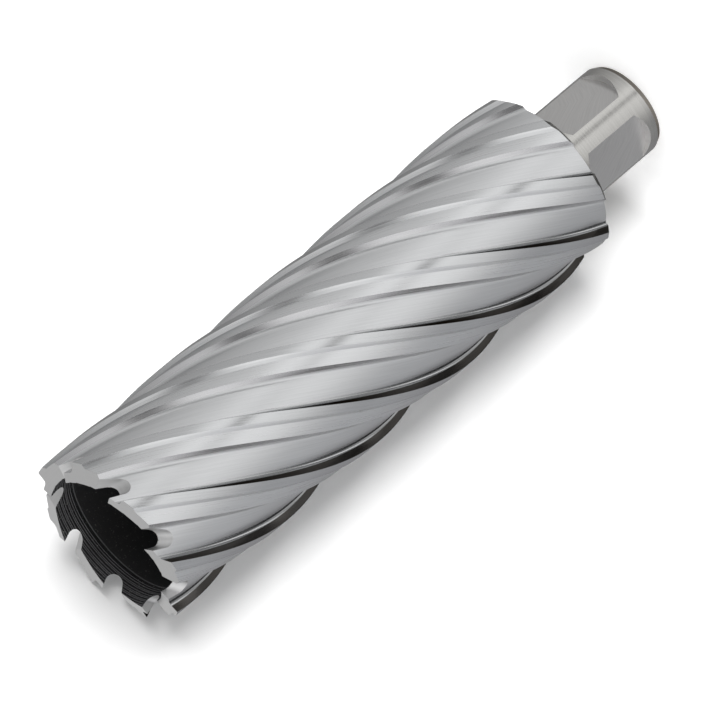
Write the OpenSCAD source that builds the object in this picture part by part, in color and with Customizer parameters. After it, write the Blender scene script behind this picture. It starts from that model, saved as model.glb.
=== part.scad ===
// Annular cutter for a magnetic drill: one ground bar, a hollow fluted body on a side lock shank.
// It stands on the shank's end: the origin is the centre of that end, and the teeth point up the Z axis.

/* [Body] */
// outside diameter over the margins
cutter_d = 35; // [33:0.5:40]
// length of the fluted body, shoulder to tooth points
body_l = 114.4; // [90:0.1:120]
// helix angle at the outside diameter
helix_a = 30; // [20:1:35]
// bevel around the body's shoulder
shoulder_bevel = 1.4; // [0.5:0.1:2]
// where the first margin's cutting edge stands at the tooth points, around Z
flute_phase = 13.8; // [0:0.1:45]
// number of teeth and flutes, an even count because two tooth forms alternate
tooth_n = 8; // [6:2:10]

/* [Flute section] */
// width of the margin, the land at the full diameter
margin_w = 1.95; // [1.2:0.05:2.6]
// how far the cleared land lies below the margin
land_drop = 0.75; // [0.4:0.05:1]
// width of the cleared land behind the margin
land_w = 2.75; // [2:0.05:3.2]
// how far the flute floor lies below the margin
flute_depth = 2.1; // [1.6:0.05:2.4]
// how far the foot of the cutting wall runs ahead of its edge
wall_foot = 0.35; // [0.1:0.05:0.6]
// radius in the corner between the cutting wall and the flute floor
root_r = 0.7; // [0.4:0.05:0.9]

/* [Core] */
// diameter of the short land inside the tooth ring
core_d = 27; // [25:0.1:28]
// thickness of the web between the shoulder and the hollow's floor
web_l = 10; // [6:0.5:20]
// length of the inner land before its groove
core_land_l = 5.3; // [4:0.1:8]
// width of the turned groove behind the inner land
groove_w = 0.5; // [0.3:0.1:1]
// depth of the turned groove
groove_depth = 0.4; // [0.3:0.05:0.6]
// how far the hollow behind the groove is cleared from the slug
core_clear = 0.15; // [0.05:0.05:0.25]

/* [Teeth] */
// arc from the margin's edge forward to the tooth point at the core
lead_w = 2.2; // [1.8:0.1:2.6]
// clearance angle behind every cutting edge
relief_a = 10; // [6:0.5:13]
// outward fall of the inner teeth's end faces
bevel_a = 12; // [5:0.5:15]
// how far the outer teeth stand back from the inner ones
stagger = 0.4; // [0.1:0.05:0.8]
// radius of a gullet's round end
gullet_r = 1.6; // [1.2:0.05:1.8]
// from the tooth points down to the centre of the gullet's round end, at the core wall
gullet_l = 2.0; // [1.4:0.1:2.6]
// lean of the gullet from the radial line toward the shank
gullet_lean = 42; // [30:1:48]
// extra opening of the gullet's rear wall
gullet_flare = 16; // [8:1:20]

/* [Shank] */
// diameter of the side lock shank, three quarters of an inch
shank_d = 19.05; // [18:0.05:20]
// shank length from its end to the shoulder
shank_l = 22.1; // [21:0.1:30]
// length of the chamfer on the shank's end
chamfer_l = 1.05; // [0.4:0.05:1.5]
// how far that chamfer reduces the end's radius
chamfer_w = 0.5; // [0.2:0.05:1]
// how far the shank's flats are turned around Z from their place behind -X
shank_turn = 88.6; // [0:0.1:180]
// depth of a driving flat
flat_depth = 1.42; // [1:0.02:1.8]
// diameter of the mill that sank a driving flat
flat_d = 16; // [13:0.5:16]
// height of the flats' centre above the shank's end
flat_z = 10.9; // [9.5:0.1:12]
// diameter of the pilot pin's hole
pilot_d = 8; // [6:0.1:9]
// countersink at the mouth of the pilot hole
pilot_chamfer = 0.4; // [0.2:0.1:0.8]

/* [Hidden] */
$fn = 96;
// how far a cut runs past the face it opens
over = 0.5;
// how far a grinding cut reaches past the body
reach = 2 * cutter_d;
// overlap of two neighbouring end face cuts, in degrees
seam_a = 0.05;
// how far a gullet runs past the wall, and up from its round end
slot_over = 2.5;
slot_l = 12;
top_z = shank_l + body_l;
hollow_z = shank_l + web_l;
cutter_r = cutter_d / 2;
core_r = core_d / 2;
land_r = cutter_r - land_drop;
floor_r = cutter_r - flute_depth;
pitch_a = 360 / tooth_n;
turn_per_mm = 360 * tan(helix_a) / (PI * cutter_d);
turn_a = turn_per_mm * body_l;
slices = ceil(turn_a / 6);

// degrees of arc that a width takes at a radius
function arc_a(w, r) = 180 * w / (PI * r);
// a point of the section
function polar(r, a) = [r * cos(a), r * sin(a)];
// angles inside one pitch, from the margin's cutting edge at zero
margin_a = arc_a(margin_w, cutter_r);
step_a = arc_a(land_drop, cutter_r);
land_a = arc_a(land_w, land_r);
heel_a = arc_a(flute_depth - land_drop, land_r) * 0.8;
foot_a = arc_a(wall_foot, floor_r);
root_a = arc_a(root_r, floor_r);
heel_end = pitch_a - margin_a - step_a - land_a;
floor_end = heel_end - heel_a;
floor_start = foot_a + root_a;
lead_a = arc_a(lead_w, core_r);

// one pitch of the section: wall foot, root radius, floor, heel, cleared land, step, margin
function pitch_points(a) = concat(
    [polar(floor_r + root_r, a + foot_a * (1 - root_r / flute_depth))],
    [polar(floor_r + root_r * 0.29, a + foot_a + root_a * 0.29)],
    [for (i = [0:4]) polar(floor_r, a + floor_start + (floor_end - floor_start) * i / 4)],
    [for (i = [0:2]) polar(land_r, a + heel_end + land_a * i / 2)],
    [for (i = [0:2]) polar(cutter_r, a + pitch_a - margin_a + margin_a * i / 2)]
);

// the section of the fluted body at its shoulder
module flute_section() {
    polygon([for (k = [0:tooth_n - 1]) each pitch_points(k * pitch_a)]);
}

// the fluted body before its end is ground
module fluted_body() {
    translate([0, 0, shank_l])
        rotate(flute_phase - turn_a)
            linear_extrude(height = body_l, twist = -turn_a, slices = slices, convexity = 10)
                flute_section();
}

// the stock over one tooth: all above its end face, from its own gullet back to the one behind
module tooth_relief(bevel, back) {
    mid = lead_a + arc_a(gullet_r, core_r);
    intersection() {
        translate([0, 0, shank_l])
            linear_extrude(height = body_l + over)
                polygon([
                    [0, 0],
                    polar(reach, mid),
                    polar(reach, mid - pitch_a / 2),
                    polar(reach, mid - pitch_a - seam_a)
                ]);
        rotate(lead_a)
            translate([core_r, 0, top_z - back])
                rotate([relief_a, bevel, 0])
                    translate([-reach, -reach, 0])
                        cube([2 * reach, 2 * reach, reach]);
    }
}

// a gullet: a round ended slot that leans toward the shank and follows the helix
module gullet() {
    run_a = atan(turn_per_mm * PI / 180 * (core_r + floor_r) / 2);
    wall_x = core_r * cos(lead_a);
    slope = tan(gullet_lean);
    mid_y = core_r * sin(lead_a) - gullet_l * tan(run_a) + gullet_r / cos(run_a);
    rear_a = run_a + gullet_flare;
    front = polar(gullet_r, 180 + run_a);
    rear = polar(gullet_r, rear_a);
    outline = concat(
        [front + slot_l * [sin(run_a), -cos(run_a)]],
        [for (i = [0:10]) polar(gullet_r, 180 + run_a - i * (180 - gullet_flare) / 10)],
        [rear + slot_l * [sin(rear_a), -cos(rear_a)]]
    );
    n = len(outline);
    ring = function (out) [for (p = outline) [
        wall_x + out,
        mid_y + p[0] - out * slope * sin(run_a),
        top_z - gullet_l - p[1] - out * slope * cos(run_a)
    ]];
    polyhedron(
        points = concat(ring(-slot_over), ring(cutter_r - wall_x + slot_over)),
        faces = concat(
            [[for (i = [0:n - 1]) i]],
            [[for (i = [0:n - 1]) 2 * n - 1 - i]],
            [for (i = [0:n - 1]) [(i + 1) % n, i, n + i, n + (i + 1) % n]]
        ),
        convexity = 4
    );
}

// the hollow, its groove and the pilot hole, turned from one line
module hollow() {
    land_z = top_z - core_land_l;
    groove_z = land_z - groove_w;
    rotate_extrude()
        polygon([
            [0, hollow_z],
            [core_r + core_clear, hollow_z],
            [core_r + core_clear, groove_z],
            [core_r + groove_depth, groove_z],
            [core_r + groove_depth, land_z],
            [core_r, land_z],
            [core_r, top_z + over],
            [0, top_z + over]
        ]);
    translate([0, 0, -over])
        cylinder(d = pilot_d, h = hollow_z + 2 * over);
    translate([0, 0, -over])
        cylinder(d1 = pilot_d + 2 * (pilot_chamfer + over), d2 = pilot_d, h = pilot_chamfer + over);
}

// the plain round shank with its end chamfer, and its two driving flats a quarter turn apart
module shank() {
    difference() {
        union() {
            cylinder(d1 = shank_d - 2 * chamfer_w, d2 = shank_d, h = chamfer_l);
            translate([0, 0, chamfer_l])
                cylinder(d = shank_d, h = shank_l - chamfer_l + over);
        }
        for (a = [135, 225])
            rotate(a)
                translate([shank_d / 2 - flat_depth, 0, flat_z])
                    rotate([0, 90, 0])
                        cylinder(d = flat_d, h = shank_d);
    }
}

// the ring of stock that the bevel takes off the body's shoulder
module shoulder_ring() {
    out_r = cutter_r + over;
    in_r = cutter_r - shoulder_bevel - over;
    rotate_extrude()
        polygon([
            [in_r, shank_l - over],
            [out_r, shank_l - over],
            [out_r, shank_l + shoulder_bevel + over]
        ]);
}

// the whole cutter, one piece
module cutter() {
    color("#b9babb")
        difference() {
            union() {
                difference() {
                    fluted_body();
                    shoulder_ring();
                }
                rotate(shank_turn)
                    shank();
            }
            hollow();
            for (k = [0:tooth_n - 1])
                rotate(flute_phase + k * pitch_a) {
                    if (k % 2 == 0)
                        tooth_relief(0, stagger);
                    else
                        tooth_relief(bevel_a, 0);
                    gullet();
                }
        }
}

cutter();
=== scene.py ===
import math

import bpy
from mathutils import Matrix, Vector


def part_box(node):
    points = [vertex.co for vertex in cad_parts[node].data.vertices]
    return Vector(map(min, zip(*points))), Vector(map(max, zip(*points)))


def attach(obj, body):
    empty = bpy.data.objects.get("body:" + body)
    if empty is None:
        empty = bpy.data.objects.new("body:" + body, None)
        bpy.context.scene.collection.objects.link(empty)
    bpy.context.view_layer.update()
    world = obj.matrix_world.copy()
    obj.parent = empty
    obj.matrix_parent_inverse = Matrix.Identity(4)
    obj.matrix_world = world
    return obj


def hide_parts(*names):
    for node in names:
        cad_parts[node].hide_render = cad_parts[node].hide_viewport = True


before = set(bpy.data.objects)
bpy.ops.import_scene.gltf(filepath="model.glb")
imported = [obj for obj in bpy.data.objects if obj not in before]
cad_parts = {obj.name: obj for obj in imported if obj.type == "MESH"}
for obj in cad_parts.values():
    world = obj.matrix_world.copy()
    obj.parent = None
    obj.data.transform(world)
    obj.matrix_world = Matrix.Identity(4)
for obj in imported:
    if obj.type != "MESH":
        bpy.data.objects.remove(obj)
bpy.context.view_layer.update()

# The steel of the cutter: one bar of high speed steel, ground bright outside and left black inside.
# Every bright finish is the same bare metal, so the colours stay close. What sets the faces apart is
# how each was cut: a wheel, a mill or a lathe tool leaves its own lines and its own gloss.
MM = 0.001
UV_NAME = "cut_lines"
broken_edge = 0.07
FINISHES = (
    "flute", "root", "heel", "land", "step", "margin", "rake", "tooth_end", "gullet",
    "bore", "bore_land", "bore_line", "shank", "chamfer", "flat", "flat_wall")
SLOT = {name: number for number, name in enumerate(FINISHES)}
materials = {}


def linear(hex_colour):
    """An sRGB hex colour as linear red, green, blue and alpha."""
    parts = [int(hex_colour[i:i + 2], 16) / 255 for i in (1, 3, 5)]
    return [c / 12.92 if c <= 0.04045 else ((c + 0.055) / 1.055) ** 2.4 for c in parts] + [1.0]


def add(tree, kind, settings, sockets):
    """Adds a node, sets its properties, and sets or links its sockets by name or number."""
    node = tree.nodes.new("ShaderNode" + kind)
    for name, value in settings.items():
        setattr(node, name, value)
    for key, value in sockets.items():
        if isinstance(value, bpy.types.NodeSocket):
            tree.links.new(value, node.inputs[key])
        else:
            node.inputs[key].default_value = value
    return node


def cut_steel(name, light, dark, roughness, spread, line_mm, run_mm, depth_mm, anisotropy):
    """Bare steel with lines left by a tool: line_mm apart, run_mm long, depth_mm deep.
    The lines run along V of the cut line map, so gloss spreads along U, across them.
    Real ones lie a few hundredths of a millimetre apart and are drawn as coarse as they need to show."""
    material = bpy.data.materials.new(name)
    material.use_nodes = True
    tree = material.node_tree
    shader = tree.nodes["Principled BSDF"]
    place = add(tree, "UVMap", {"uv_map": UV_NAME}, {})
    scale = (1 / (line_mm * MM), 1 / (run_mm * MM), 1)
    lines_at = add(tree, "Mapping", {}, {"Vector": place.outputs["UV"], "Scale": scale})
    lines = add(tree, "TexNoise", {"noise_dimensions": "2D"},
                {"Vector": lines_at.outputs[0], "Scale": 1.0, "Detail": 3.0, "Roughness": 0.6})
    tint = add(tree, "ValToRGB", {}, {"Fac": lines.outputs["Fac"]})
    tint.color_ramp.elements[0].position = 0.3
    tint.color_ramp.elements[0].color = linear(dark)
    tint.color_ramp.elements[1].position = 0.7
    tint.color_ramp.elements[1].color = linear(light)
    gloss = add(tree, "MapRange", {}, {"Value": lines.outputs["Fac"], "From Min": 0.25, "From Max": 0.75,
                                       "To Min": roughness - spread, "To Max": roughness + spread})
    edge = add(tree, "Bevel", {"samples": 4}, {"Radius": broken_edge * MM})
    bump = add(tree, "Bump", {}, {"Height": lines.outputs["Fac"], "Strength": 1.0, "Distance": depth_mm * MM,
                                  "Normal": edge.outputs["Normal"]})
    across = add(tree, "Tangent", {"direction_type": "UV_MAP", "uv_map": UV_NAME}, {})
    tree.links.new(tint.outputs["Color"], shader.inputs["Base Color"])
    tree.links.new(gloss.outputs["Result"], shader.inputs["Roughness"])
    tree.links.new(bump.outputs["Normal"], shader.inputs["Normal"])
    tree.links.new(across.outputs["Tangent"], shader.inputs["Tangent"])
    shader.inputs["Metallic"].default_value = 1.0
    shader.inputs["Anisotropic"].default_value = anisotropy
    return material


def loft(name, rings, finish_of, cap_finishes):
    """A closed solid through rings of equally many points, with its finishes and flat caps."""
    count = len(rings[0])
    points = [p for ring in rings for p in ring]
    faces = []
    slots = []
    for i in range(len(rings) - 1):
        for j in range(count):
            k = (j + 1) % count
            faces.append((i * count + j, i * count + k, (i + 1) * count + k, (i + 1) * count + j))
            slots.append(SLOT[finish_of(i, j)])
    faces.append(tuple(range(count - 1, -1, -1)))
    slots.append(SLOT[cap_finishes[0]])
    faces.append(tuple(range(len(points) - count, len(points))))
    slots.append(SLOT[cap_finishes[1]])
    mesh = bpy.data.meshes.new(name)
    mesh.from_pydata(points, [], faces)
    mesh.polygons.foreach_set("material_index", slots)
    mesh.validate()
    solid = bpy.data.objects.new(name, mesh)
    bpy.context.scene.collection.objects.link(solid)
    return solid


def polar(radius, angle, z=0.0):
    """A point of the cutter from millimetres and degrees."""
    turn = math.radians(angle)
    return Vector((radius * math.cos(turn), radius * math.sin(turn), z)) * MM


def arc_angle(width, radius):
    """Degrees of arc that a width takes at a radius."""
    return math.degrees(width / radius)


# The fluted body: milled and ground from the solid bar, eight right-hand flutes on a 30 degree helix.
# Each pitch has a margin at full size, a step, a cleared land, a heel, the flute floor and a root radius.
# All of them are bare high speed steel, and the lines of the wheel run along the helix.
body_low, body_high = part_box("cutter")
margin_r = body_high.x / MM
tip_z = body_high.z / MM
shoulder_z = 22.1
shoulder_bevel = 1.4
teeth = 8
pitch = 360 / teeth
helix = math.radians(30)
turn_per_mm = math.degrees(math.tan(helix) / margin_r)
phase = 13.8
margin_w = 1.95
step_depth = 0.75
land_w = 2.75
flute_depth = 2.1
wall_foot_w = 0.35
root = 0.7
# the heel's width for its height, the share of it that the fillet takes, and the floor that the fillet takes
heel_slope = 0.8
heel_fillet = 0.38
heel_fillet_w = 0.5
# the share of the step's height at which its edge is broken
step_chamfer = 0.6
# how far stock and tools stand past the finished faces
stock_over = 1
# points along each face of a pitch
root_points = 8
floor_points = 12
heel_points = 5
land_points = 6
margin_points = 5

land_r = margin_r - step_depth
floor_r = margin_r - flute_depth
foot = arc_angle(wall_foot_w, floor_r)
root_end = foot + arc_angle(root, floor_r)
margin_start = pitch - arc_angle(margin_w, margin_r)
land_end = margin_start - arc_angle(step_depth, margin_r)
land_start = land_end - arc_angle(land_w, land_r)
floor_end = land_start - heel_slope * arc_angle(land_r - floor_r, land_r)

# the flute floor: a wide soft sheen, drawn out along the lines of a coarse wheel
materials["flute"] = cut_steel(
    "flute_ground_steel", light="#d4d5d6", dark="#cbcccd", roughness=0.36, spread=0.03,
    line_mm=0.3, run_mm=16, depth_mm=0.0008, anisotropy=0.5)
# the root radius: rubbed smooth by the wheel's corner, so it shows as one thin clear line
materials["root"] = cut_steel(
    "root_ground_steel", light="#bbbcbd", dark="#b7b8b9", roughness=0.2, spread=0.01,
    line_mm=0.15, run_mm=16, depth_mm=0.0001, anisotropy=0.2)
# the heel: a glossy milled slope that changes from light to dark along the helix
materials["heel"] = cut_steel(
    "heel_milled_steel", light="#cbcbcc", dark="#c1c1c3", roughness=0.24, spread=0.03,
    line_mm=0.2, run_mm=16, depth_mm=0.0006, anisotropy=0.4)
# the cleared land: an even satin, finer than the flute floor
materials["land"] = cut_steel(
    "land_ground_steel", light="#d0d1d2", dark="#c9cacb", roughness=0.29, spread=0.03,
    line_mm=0.3, run_mm=16, depth_mm=0.0004, anisotropy=0.5)
# the step: a narrow slope that catches the light as a pale line beside the margin
materials["step"] = cut_steel(
    "step_ground_steel", light="#d6d7d8", dark="#d1d2d3", roughness=0.26, spread=0.02,
    line_mm=0.3, run_mm=16, depth_mm=0.0003, anisotropy=0.3)
# the margin: the finest grinding of the outside, with the sharpest highlights
materials["margin"] = cut_steel(
    "margin_ground_steel", light="#c0c1c2", dark="#b9babb", roughness=0.21, spread=0.03,
    line_mm=0.3, run_mm=16, depth_mm=0.0006, anisotropy=0.4)
# the cutting wall: painted nearly black, a painted shade for the dark corner of the flute it faces and
# mirrors, and dark at glancing angles too
materials["rake"] = cut_steel(
    "rake_painted_shade_steel", light="#5c5a58", dark="#524f4c", roughness=0.2, spread=0.03,
    line_mm=0.3, run_mm=16, depth_mm=0.0004, anisotropy=0.3)
# painted shade: a grey specular tint dims the wall's glancing reflections as well
rake_shader = materials["rake"].node_tree.nodes["Principled BSDF"]
rake_shader.inputs["Specular Tint"].default_value = linear("#8c8c8c")


def between(a, b, count):
    """Values from a up to b, without b."""
    return [a + (b - a) * i / count for i in range(count)]


def fillet(start, corner, end, count, finish):
    """Points of a rounded corner between two lines of the section, without its end."""
    points = []
    for t in between(0, 1, count):
        parts = zip(start, corner, end)
        radius, angle = [(1 - t) ** 2 * p + 2 * t * (1 - t) * q + t ** 2 * r for p, q, r in parts]
        points.append((radius, angle, finish))
    return points


def pitch_outline():
    """Radius, angle and finish of one pitch, from the margin's cutting edge forward."""
    wall_foot = (floor_r + root, foot * (1 - root / (margin_r - floor_r)))
    heel_foot = (floor_r + heel_fillet * (land_r - floor_r),
                 floor_end + heel_fillet * (land_start - floor_end))
    heel_start = floor_end - arc_angle(heel_fillet_w, floor_r)
    step_edge = (land_r + step_chamfer * (margin_r - land_r),
                 land_end + step_chamfer * (margin_start - land_end))
    outline = [(margin_r, 0.0, "rake")]
    outline.append((0.5 * (margin_r + wall_foot[0]), 0.5 * wall_foot[1], "rake"))
    outline += fillet(wall_foot, (floor_r, foot), (floor_r, root_end), root_points, "root")
    outline += [(floor_r, angle, "flute") for angle in between(root_end, heel_start, floor_points)]
    outline += fillet((floor_r, heel_start), (floor_r, floor_end), heel_foot, heel_points, "flute")
    outline += [(heel_foot[0], heel_foot[1], "heel")]
    outline += [(land_r, angle, "land") for angle in between(land_start, land_end, land_points)]
    outline += [(land_r, land_end, "land"), (step_edge[0], step_edge[1], "step")]
    outline += [(margin_r, angle, "margin") for angle in between(margin_start, pitch, margin_points)]
    return outline


outline = [(r, a + k * pitch, f) for k in range(teeth) for r, a, f in pitch_outline()]
ring_step = 1.0
stock_l = tip_z + stock_over - shoulder_z
ring_count = math.ceil(stock_l / ring_step)
heights = [shoulder_z + stock_l * i / ring_count for i in range(ring_count + 1)]
rings = [[polar(r, a + phase + turn_per_mm * (z - tip_z), z) for r, a, f in outline] for z in heights]
cutter = loft("cutter_body", rings, lambda i, j: outline[j][2], ("shank", "flute"))


# The shank: turned in one piece with the body, with a chamfered end, and left as the lathe leaves it.
# An end mill sank two round-ended driving flats into it, a quarter turn apart, for the holder's screws.
shank_r = 9.525
chamfer_l = 1.05
chamfer_w = 0.5
flat_angles = (223.6, 313.6)
flat_depth = 1.42
flat_r = 8.0
flat_z = 10.9
mill_over = 3
mill_count = 96
shank_overlap = 0.5
round_count = 192

# the turned steel: warm satin, with fine rings across the axis
materials["shank"] = cut_steel(
    "shank_turned_steel", light="#bab9b6", dark="#afaeab", roughness=0.24, spread=0.03,
    line_mm=0.2, run_mm=30, depth_mm=0.0005, anisotropy=0.3)
# the chamfer at the end: a rougher cut, darker and browner than the shank
materials["chamfer"] = cut_steel(
    "chamfer_turned_steel", light="#aaa49c", dark="#a09a92", roughness=0.5, spread=0.03,
    line_mm=0.2, run_mm=30, depth_mm=0.0005, anisotropy=0.3)
# the flats: dull, with the swirl of the end mill's face
materials["flat"] = cut_steel(
    "flat_milled_steel", light="#cecdcc", dark="#c4c3c2", roughness=0.36, spread=0.04,
    line_mm=0.25, run_mm=5, depth_mm=0.0006, anisotropy=0.3)
# the flats' curved ends, cut by the mill's side: dull, and painted paler than the other steel, a painted
# highlight so they show as light crescents
materials["flat_wall"] = cut_steel(
    "flat_wall_painted_light_steel", light="#f0efee", dark="#e6e5e4", roughness=0.45, spread=0.03,
    line_mm=0.25, run_mm=5, depth_mm=0.0004, anisotropy=0.2)


def turned(name, profile):
    """A solid of revolution through radius, height and the finish of the face that follows."""
    circle = [360 * j / round_count for j in range(round_count)]
    rings = [[polar(r, a, z) for a in circle] for r, z, f in profile]
    return loft(name, rings, lambda i, j: profile[i][2], (profile[0][2], profile[-1][2]))


shank = turned("shank_bar", [
    (shank_r - chamfer_w, 0, "chamfer"),
    (shank_r, chamfer_l, "shank"),
    (shank_r, shoulder_z + shank_overlap, "shank")])
bevelled = turned("bevelled_blank", [
    (margin_r - shoulder_bevel, shoulder_z, "shank"),
    (margin_r + stock_over, shoulder_z + shoulder_bevel + stock_over, "flute"),
    (margin_r + stock_over, tip_z + 2 * stock_over, "flute")])


def flat_tool(angle):
    """The end mill that sinks one driving flat, at an angle around the axis."""
    turn = Matrix.Rotation(math.radians(angle), 4, "Z")
    circle = [math.radians(360 * j / mill_count) for j in range(mill_count)]
    rings = []
    for x in (shank_r - flat_depth, shank_r + mill_over):
        ring = [Vector((x, flat_r * math.cos(a), flat_z + flat_r * math.sin(a))) * MM for a in circle]
        rings.append([turn @ point for point in ring])
    return loft("flat_tool", rings, lambda i, j: "flat_wall", ("flat", "flat"))


# The hollow: bored from the tooth end to a web, with a fine turned land inside the tooth ring.
# The pilot pin's hole runs on through the web and the shank. All of it keeps a black oxide skin,
# with the rings' flanks and the groove's edge painted a lighter grey as a painted highlight.
core_r = 13.5
land_l = 5.3
groove_w = 0.5
groove_depth = 0.4
core_clear = 0.15
web_l = 10
hollow_z = shoulder_z + web_l
pilot_r = 4.0
pilot_chamfer = 0.4
groove_edge = 0.13
ring_pitch = 0.42
ring_flank = 0.14
ring_depth = 0.09
ring_foot = 0.03
feed_spread = 0.3
feed_wave = 9


def black_oxide(name, colour, roughness):
    """Steel with a black oxide skin: dull, with a few pale specks of dust on it."""
    material = bpy.data.materials.new(name)
    material.use_nodes = True
    tree = material.node_tree
    shader = tree.nodes["Principled BSDF"]
    place = add(tree, "TexCoord", {}, {})
    speck_mm = 0.3
    specks = add(tree, "TexNoise", {},
                 {"Vector": place.outputs["Object"], "Scale": 1 / (speck_mm * MM), "Detail": 2.0})
    tint = add(tree, "ValToRGB", {}, {"Fac": specks.outputs["Fac"]})
    tint.color_ramp.elements[0].position = 0.64
    tint.color_ramp.elements[0].color = linear(colour)
    tint.color_ramp.elements[1].position = 0.74
    tint.color_ramp.elements[1].color = linear("#6e6d6a")
    tree.links.new(tint.outputs["Color"], shader.inputs["Base Color"])
    shader.inputs["Roughness"].default_value = roughness
    return material


# the bored wall: dull black
materials["bore"] = black_oxide("bore_black_oxide", "#2b2b2c", 0.4)
# the land between the rings: a finer cut, so blacker and with a faint gloss
materials["bore_land"] = black_oxide("bore_land_black_oxide", "#232324", 0.26)
# the rings' flanks and the groove's edge: painted a lighter grey, a painted highlight that shows as thin
# grey lines
materials["bore_line"] = black_oxide("bore_line_painted_highlight_oxide", "#48484a", 0.3)

land_z = tip_z - land_l
groove_z = land_z - groove_w
wall_r = core_r + core_clear
profile = [
    (pilot_r + pilot_chamfer + stock_over, -stock_over, "shank"),
    (pilot_r, pilot_chamfer, "bore"),
    (pilot_r, hollow_z, "bore"),
    (wall_r, hollow_z, "bore"),
    (wall_r, groove_z - groove_edge, "bore_line"),
    (wall_r + groove_edge, groove_z, "bore"),
    (core_r + groove_depth, groove_z, "bore"),
    (core_r + groove_depth, land_z, "bore")]
z = land_z
while z < tip_z + stock_over:
    feed = ring_pitch * (1 + feed_spread * math.sin(feed_wave * z))
    profile += [(core_r, z + ring_foot, "bore_land"), (core_r, z + feed - ring_flank, "bore_line")]
    profile += [(core_r + ring_depth, z + feed, "bore_land")]
    z += feed
hollow = turned("hollow_tool", profile)


# The tooth crown: the end of each land is ground to a cutting edge, in two forms that alternate.
# Every other tooth points at the core and falls outward; the ones between stand back and run straight.
# In front of each tooth a round-ended gullet leans toward the shank and opens into the flute.
lead_w = 2.2
lead = arc_angle(lead_w, core_r)
relief = math.radians(10)
bevel = math.radians(12)
stagger = 0.4
gullet_r = 1.6
gullet_l = 2.0
gullet_slope = math.tan(math.radians(42))
gullet_flare = math.radians(16)
gullet_over = 2.5
gullet_up = 12
gullet_steps = 24
wedge_r = 60
wedge_up = 20
wedge_seam = 0.05

# the teeth's end faces: fresh from the wheel, a plain light grey
materials["tooth_end"] = cut_steel(
    "tooth_ground_steel", light="#cccccc", dark="#c8c8c8", roughness=0.3, spread=0.02,
    line_mm=0.3, run_mm=4, depth_mm=0.0003, anisotropy=0.3)
# the gullets: milled and never ground, the palest and dullest of the bright faces
materials["gullet"] = cut_steel(
    "gullet_milled_steel", light="#dcdcdc", dark="#d4d4d4", roughness=0.46, spread=0.03,
    line_mm=0.6, run_mm=4, depth_mm=0.0004, anisotropy=0.1)


def place_at_tooth(number, points):
    """Points in a tooth's own frame, radial X and tangential Y in millimetres, set at that tooth."""
    turn = Matrix.Rotation(math.radians(phase + number * pitch), 4, "Z")
    return [turn @ (Vector(p) * MM) for p in points]


def relief_tool(number):
    """The stock above one tooth's end face."""
    fall, back = (bevel, 0.0) if number % 2 else (0.0, stagger)
    tip = (core_r * math.cos(math.radians(lead)), core_r * math.sin(math.radians(lead)))
    front = lead + arc_angle(gullet_r, core_r)
    corners = [(0, 0)]
    for angle in (front - pitch - wedge_seam, front - pitch / 2, front):
        corners.append((wedge_r * math.cos(math.radians(angle)), wedge_r * math.sin(math.radians(angle))))
    low = []
    for x, y in corners:
        drop = math.tan(fall) * (x - tip[0]) - math.tan(relief) / math.cos(fall) * (y - tip[1])
        low.append((x, y, tip_z - back - drop))
    high = [(x, y, tip_z + wedge_up) for x, y in corners]
    rings = [place_at_tooth(number, low), place_at_tooth(number, high)]
    return loft("relief_tool", rings, lambda i, j: "tooth_end", ("tooth_end", "tooth_end"))


def gullet_tool(number):
    """The round-ended slot in front of one tooth, following the helix."""
    run = math.atan(math.radians(turn_per_mm) * (core_r + floor_r) / 2)
    rear = run + gullet_flare
    wall_x = core_r * math.cos(math.radians(lead))
    mid_y = core_r * math.sin(math.radians(lead)) - gullet_l * math.tan(run) + gullet_r / math.cos(run)
    turns = [math.pi + run - i * (math.pi - gullet_flare) / gullet_steps for i in range(gullet_steps + 1)]
    shape = [(gullet_r * math.cos(a), gullet_r * math.sin(a)) for a in turns]
    shape.insert(0, (shape[0][0] + gullet_up * math.sin(run), shape[0][1] - gullet_up * math.cos(run)))
    shape.append((shape[-1][0] + gullet_up * math.sin(rear), shape[-1][1] - gullet_up * math.cos(rear)))
    rings = []
    for out in (-gullet_over, margin_r - wall_x + gullet_over):
        lean = out * gullet_slope
        ring = [(wall_x + out, mid_y + p - lean * math.sin(run), tip_z - gullet_l - q - lean * math.cos(run))
                for p, q in shape]
        rings.append(place_at_tooth(number, ring))
    return loft("gullet_tool", rings, lambda i, j: "gullet", ("gullet", "gullet"))


# The finished cutter: the fluted bar is bevelled, joined to its shank, bored, and its end is ground.
# What is left is one solid of steel. Each face keeps the finish of the tool that cut it last.
sharp_angle = math.radians(20)
tools = [("INTERSECT", bevelled), ("UNION", shank), ("DIFFERENCE", hollow)]
tools += [("DIFFERENCE", flat_tool(angle)) for angle in flat_angles]
tools += [("DIFFERENCE", relief_tool(k)) for k in range(teeth)]
tools += [("DIFFERENCE", gullet_tool(k)) for k in range(teeth)]
for solid in [cutter] + [tool for operation, tool in tools]:
    for finish in FINISHES:
        solid.data.materials.append(materials[finish])
for operation, tool in tools:
    cut = cutter.modifiers.new(tool.name, "BOOLEAN")
    cut.operation = operation
    cut.solver = "MANIFOLD"
    cut.object = tool
bpy.context.view_layer.update()
ground = bpy.data.meshes.new_from_object(cutter.evaluated_get(bpy.context.evaluated_depsgraph_get()))
cutter.modifiers.clear()
cutter.data = ground
for operation, tool in tools:
    bpy.data.objects.remove(tool)
ground.shade_smooth()
ground.set_sharp_from_angle(angle=sharp_angle)

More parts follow.
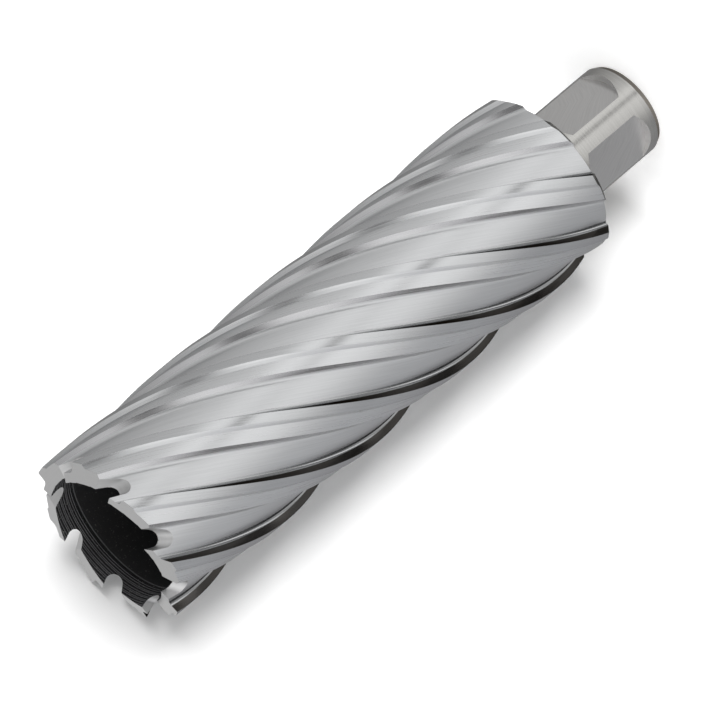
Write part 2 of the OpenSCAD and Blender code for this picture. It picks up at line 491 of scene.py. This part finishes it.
# the cut line map, in metres: V runs along the tool's lines, U across them
helical = ("flute", "root", "heel", "land", "step", "margin", "rake")
swirl_middle = Vector((0, 5.0, flat_z + 4.0)) * MM
swirl_r = 7
lines = ground.uv_layers.new(name=UV_NAME)
for face in ground.polygons:
    finish = FINISHES[face.material_index]
    middle = math.atan2(face.center.y, face.center.x)
    away = [abs(math.remainder(math.radians(angle) - middle, 2 * math.pi)) for angle in flat_angles]
    flat_turn = flat_angles[away.index(min(away))]
    for corner in face.loop_indices:
        point = ground.vertices[ground.loops[corner].vertex_index].co
        radius = math.hypot(point.x, point.y)
        around = middle + math.remainder(math.atan2(point.y, point.x) - middle, 2 * math.pi)
        if finish in helical:
            from_edge = around - math.radians(turn_per_mm) * point.z / MM
            uv = (from_edge * margin_r * MM, point.z / math.cos(helix))
        elif finish in ("tooth_end", "gullet"):
            uv = (radius, around * core_r * MM)
        elif finish == "flat":
            reach = Matrix.Rotation(-math.radians(flat_turn), 3, "Z") @ point - swirl_middle
            uv = (math.hypot(reach.y, reach.z), math.atan2(-reach.z, -reach.y) * swirl_r * MM)
        else:
            uv = (point.z, around * radius)
        lines.data[corner].uv = uv

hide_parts("cutter")
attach(cutter, "root")

# The stage: one sheet of white paper that lies under the shank's end and rises behind the cutter.
# It only catches the soft shadow. It is left out of the steel's reflections, which show the studio.
sheet_normal = Vector((0.46, -0.888, 0)).normalized()
sheet_along = Vector((0.888, 0.46, 0)).normalized()
sheet_gap = 0.2
sheet_half = 1.0
sheet_height = 0.9
sheet_depth = 1.5
cove_r = 0.006
cove_steps = 12

# matt paper: an even white that glows a little for the eye where it lies flat, and clear from behind
paper = bpy.data.materials.new("white_paper")
paper.use_nodes = True
tree = paper.node_tree
tree.nodes.clear()
light_path = add(tree, "LightPath", {}, {})
side = add(tree, "NewGeometry", {}, {})
upward = add(tree, "SeparateXYZ", {}, {0: side.outputs["Normal"]})
glow = add(tree, "MapRange", {}, {"Value": upward.outputs["Z"], "To Min": 0.0, "To Max": 0.4})
for_eye = add(tree, "Math", {"operation": "MULTIPLY"},
              {0: glow.outputs["Result"], 1: light_path.outputs["Is Camera Ray"]})
shine = add(tree, "Emission", {}, {"Color": linear("#ffffff"), "Strength": for_eye.outputs[0]})
matt = add(tree, "BsdfDiffuse", {}, {"Color": linear("#efefef")})
both = add(tree, "AddShader", {}, {0: matt.outputs[0], 1: shine.outputs[0]})
clear = add(tree, "BsdfTransparent", {}, {})
front = add(tree, "MixShader", {}, {0: side.outputs["Backfacing"], 1: both.outputs[0], 2: clear.outputs[0]})
add(tree, "OutputMaterial", {}, {"Surface": front.outputs[0]})

sheet_foot = -sheet_normal * (margin_r + sheet_gap) * MM
sweep = [(0.0, sheet_height)]
for step in range(cove_steps + 1):
    turn = math.radians(90 * step / cove_steps)
    sweep.append((cove_r * (1 - math.cos(turn)), cove_r * (1 - math.sin(turn))))
sweep.append((sheet_depth, 0.0))
corners = []
for out, height in sweep:
    middle = sheet_foot + sheet_normal * out + Vector((0, 0, height))
    corners += [middle - sheet_along * sheet_half, middle + sheet_along * sheet_half]
faces = [(2 * i, 2 * i + 2, 2 * i + 3, 2 * i + 1) for i in range(len(sweep) - 1)]
mesh = bpy.data.meshes.new("paper_sweep")
mesh.from_pydata(corners, [], faces)
mesh.materials.append(paper)
mesh.shade_smooth()
stage = bpy.data.objects.new("paper_sweep", mesh)
bpy.context.scene.collection.objects.link(stage)
stage.visible_glossy = False
stage.visible_shadow = False

# The light: a white studio, which the steel sees as rings of wide softboxes with gaps between them.
# The rings stand at four heights, two cards fill in single spots, and the eye sees plain white.
# One soft round lamp in front of the paper makes the shadow.
studio_strength = 1.45
lamp_size = 0.8
lamp_power = 10
lamp_reach = 0.9
lamp_aim = Vector((0, 0, 0.08))
lamp_shift = 0.07
lamp_drop = Vector((0, 0, 0.11))

studio = bpy.data.worlds.new("studio")
bpy.context.scene.world = studio
studio.use_nodes = True
tree = studio.node_tree
tree.nodes.clear()
look = add(tree, "TexCoord", {}, {})
part = add(tree, "SeparateXYZ", {}, {0: look.outputs["Generated"]})
bearing = add(tree, "Math", {"operation": "ARCTAN2"}, {0: part.outputs["Y"], 1: part.outputs["X"]})
share = add(tree, "MapRange", {"clamp": False},
            {"Value": bearing.outputs[0], "From Min": -math.pi, "From Max": math.pi})


def softbox_ring(bands):
    """A ring of softboxes and gaps around the cutter, as degrees from +X and a colour there."""
    ramp = add(tree, "ValToRGB", {}, {"Fac": share.outputs["Result"]})
    stops = ramp.color_ramp.elements
    while len(stops) < len(bands):
        stops.new(0.5)
    for stop, (angle, colour) in zip(stops, bands):
        stop.position = (angle + 180) / 360
        stop.color = linear(colour)
    return ramp


floor_ring = softbox_ring([
    (-180, "#b4b4b4"), (-165, "#7c7c7c"), (-150, "#5a5a5a"), (-105, "#5a5a5a"), (-90, "#787878"),
    (-15, "#787878"), (20, "#585858"), (60, "#3c3c3c"), (110, "#3c3c3c"), (140, "#909090"),
    (158, "#bcbcbc"), (179, "#b4b4b4")])
edge_ring = softbox_ring([
    (-180, "#2c2c2c"), (-160, "#383838"), (-140, "#7c7c7c"), (-122, "#b4b4b4"), (-105, "#d8d8d8"),
    (-45, "#dcdcdc"), (-20, "#b0b0b0"), (30, "#606060"), (60, "#404040"), (110, "#303030"),
    (150, "#2c2c2c"), (179, "#2c2c2c")])
low_ring = softbox_ring([
    (-180, "#a5a6a8"), (-166, "#a1a2a4"), (-150, "#ababad"), (-136, "#c2c2c2"), (-118, "#e3e3e3"),
    (-104, "#f0f0f0"), (-95, "#ffffff"), (-88, "#ffffff"), (-86, "#868686"), (-80, "#868686"),
    (-78, "#ffffff"), (-68, "#ffffff"), (-52, "#c8c8c8"), (-20, "#b7b7b7"), (20, "#9e9e9e"),
    (45, "#828282"), (65, "#7c7c7c"), (95, "#747474"), (130, "#8b8b8d"), (155, "#98989a"), (179, "#a5a6a8")])
high_ring = softbox_ring([
    (-180, "#c0c0c2"), (-158, "#d0d0d1"), (-143, "#e2e2e2"), (-128, "#e8e8e8"), (-116, "#e0e0e0"),
    (-107, "#c8c8c8"), (-99, "#606060"), (-82, "#606060"), (-73, "#cfcfcf"), (-60, "#c6c6c6"),
    (-45, "#b4b4b4"), (-30, "#a7a7a7"), (-10, "#8e8e8e"), (30, "#8e8e8e"), (50, "#b3b3b3"),
    (92, "#b3b3b3"), (104, "#7a7a7a"), (118, "#4a4a4a"), (130, "#535353"), (143, "#838383"),
    (157, "#b0b0b0"), (174, "#c9c9ca"), (179, "#c0c0c2")])
walls = floor_ring.outputs["Color"]
for ring, low, high in ((edge_ring, -0.84, -0.74), (low_ring, -0.6, -0.5), (high_ring, -0.36, -0.24)):
    above = add(tree, "MapRange", {"interpolation_type": "SMOOTHSTEP"},
                {"Value": part.outputs["Z"], "From Min": low, "From Max": high})
    walls = add(tree, "Mix", {"data_type": "RGBA"},
                {0: above.outputs["Result"], 6: walls, 7: ring.outputs["Color"]}).outputs[2]

# a card's direction, its full and its faded radius in degrees, and its colour
low_card = (Vector((-0.17, -0.3, -0.94)), 7, 13, "#e8e8e8")
crown_card = (Vector((-0.21, 0.86, 0.47)), 12, 25, "#b6b6b6")
for way, full, fade, colour in (low_card, crown_card):
    toward = add(tree, "VectorMath", {"operation": "DOT_PRODUCT"},
                 {0: look.outputs["Generated"], 1: way.normalized()})
    card = add(tree, "MapRange", {"interpolation_type": "SMOOTHSTEP"},
               {"Value": toward.outputs["Value"],
                "From Min": math.cos(math.radians(fade)), "From Max": math.cos(math.radians(full))})
    walls = add(tree, "Mix", {"data_type": "RGBA"},
                {0: card.outputs["Result"], 6: walls, 7: linear(colour)}).outputs[2]
seen_by = add(tree, "LightPath", {}, {})
softboxes = add(tree, "Background", {}, {"Color": walls, "Strength": studio_strength})
white = add(tree, "Background", {}, {"Color": linear("#ffffff"), "Strength": 1.0})
mixed = add(tree, "MixShader", {},
            {0: seen_by.outputs["Is Camera Ray"], 1: softboxes.outputs[0], 2: white.outputs[0]})
add(tree, "OutputWorld", {}, {"Surface": mixed.outputs[0]})

lamp = bpy.data.lights.new("shadow_lamp", "AREA")
lamp.shape = "DISK"
lamp.size = lamp_size
lamp.energy = lamp_power
lamp_place = bpy.data.objects.new("shadow_lamp", lamp)
bpy.context.scene.collection.objects.link(lamp_place)
lamp_way = (sheet_normal + lamp_shift * sheet_along - lamp_drop).normalized()
lamp_place.location = lamp_aim + lamp_way * lamp_reach
lamp_place.rotation_euler = lamp_way.to_track_quat("Z", "Y").to_euler()
lamp_place.visible_glossy = False

# The camera: a long lens that looks down on the tooth end from a little under a metre away.
# It is rolled, so the standing cutter runs from the lower left up to the right, as if it lay on paper.
camera_lens = 266.6
camera_sensor = 36
camera_at = Vector((-4.2, -860.3, 495.7)) * MM
camera_tilt = 26.045
camera_roll = -130.28
camera = bpy.data.cameras.new("camera")
camera.sensor_width = camera_sensor
camera.lens = camera_lens
camera_place = bpy.data.objects.new("camera", camera)
bpy.context.scene.collection.objects.link(camera_place)
tilt = Matrix.Rotation(math.radians(90 - camera_tilt), 4, "X")
roll = Matrix.Rotation(math.radians(camera_roll), 4, "Z")
camera_place.matrix_world = Matrix.Translation(camera_at) @ tilt @ roll
bpy.context.scene.camera = camera_place
bpy.context.scene.view_settings.view_transform = "Standard"
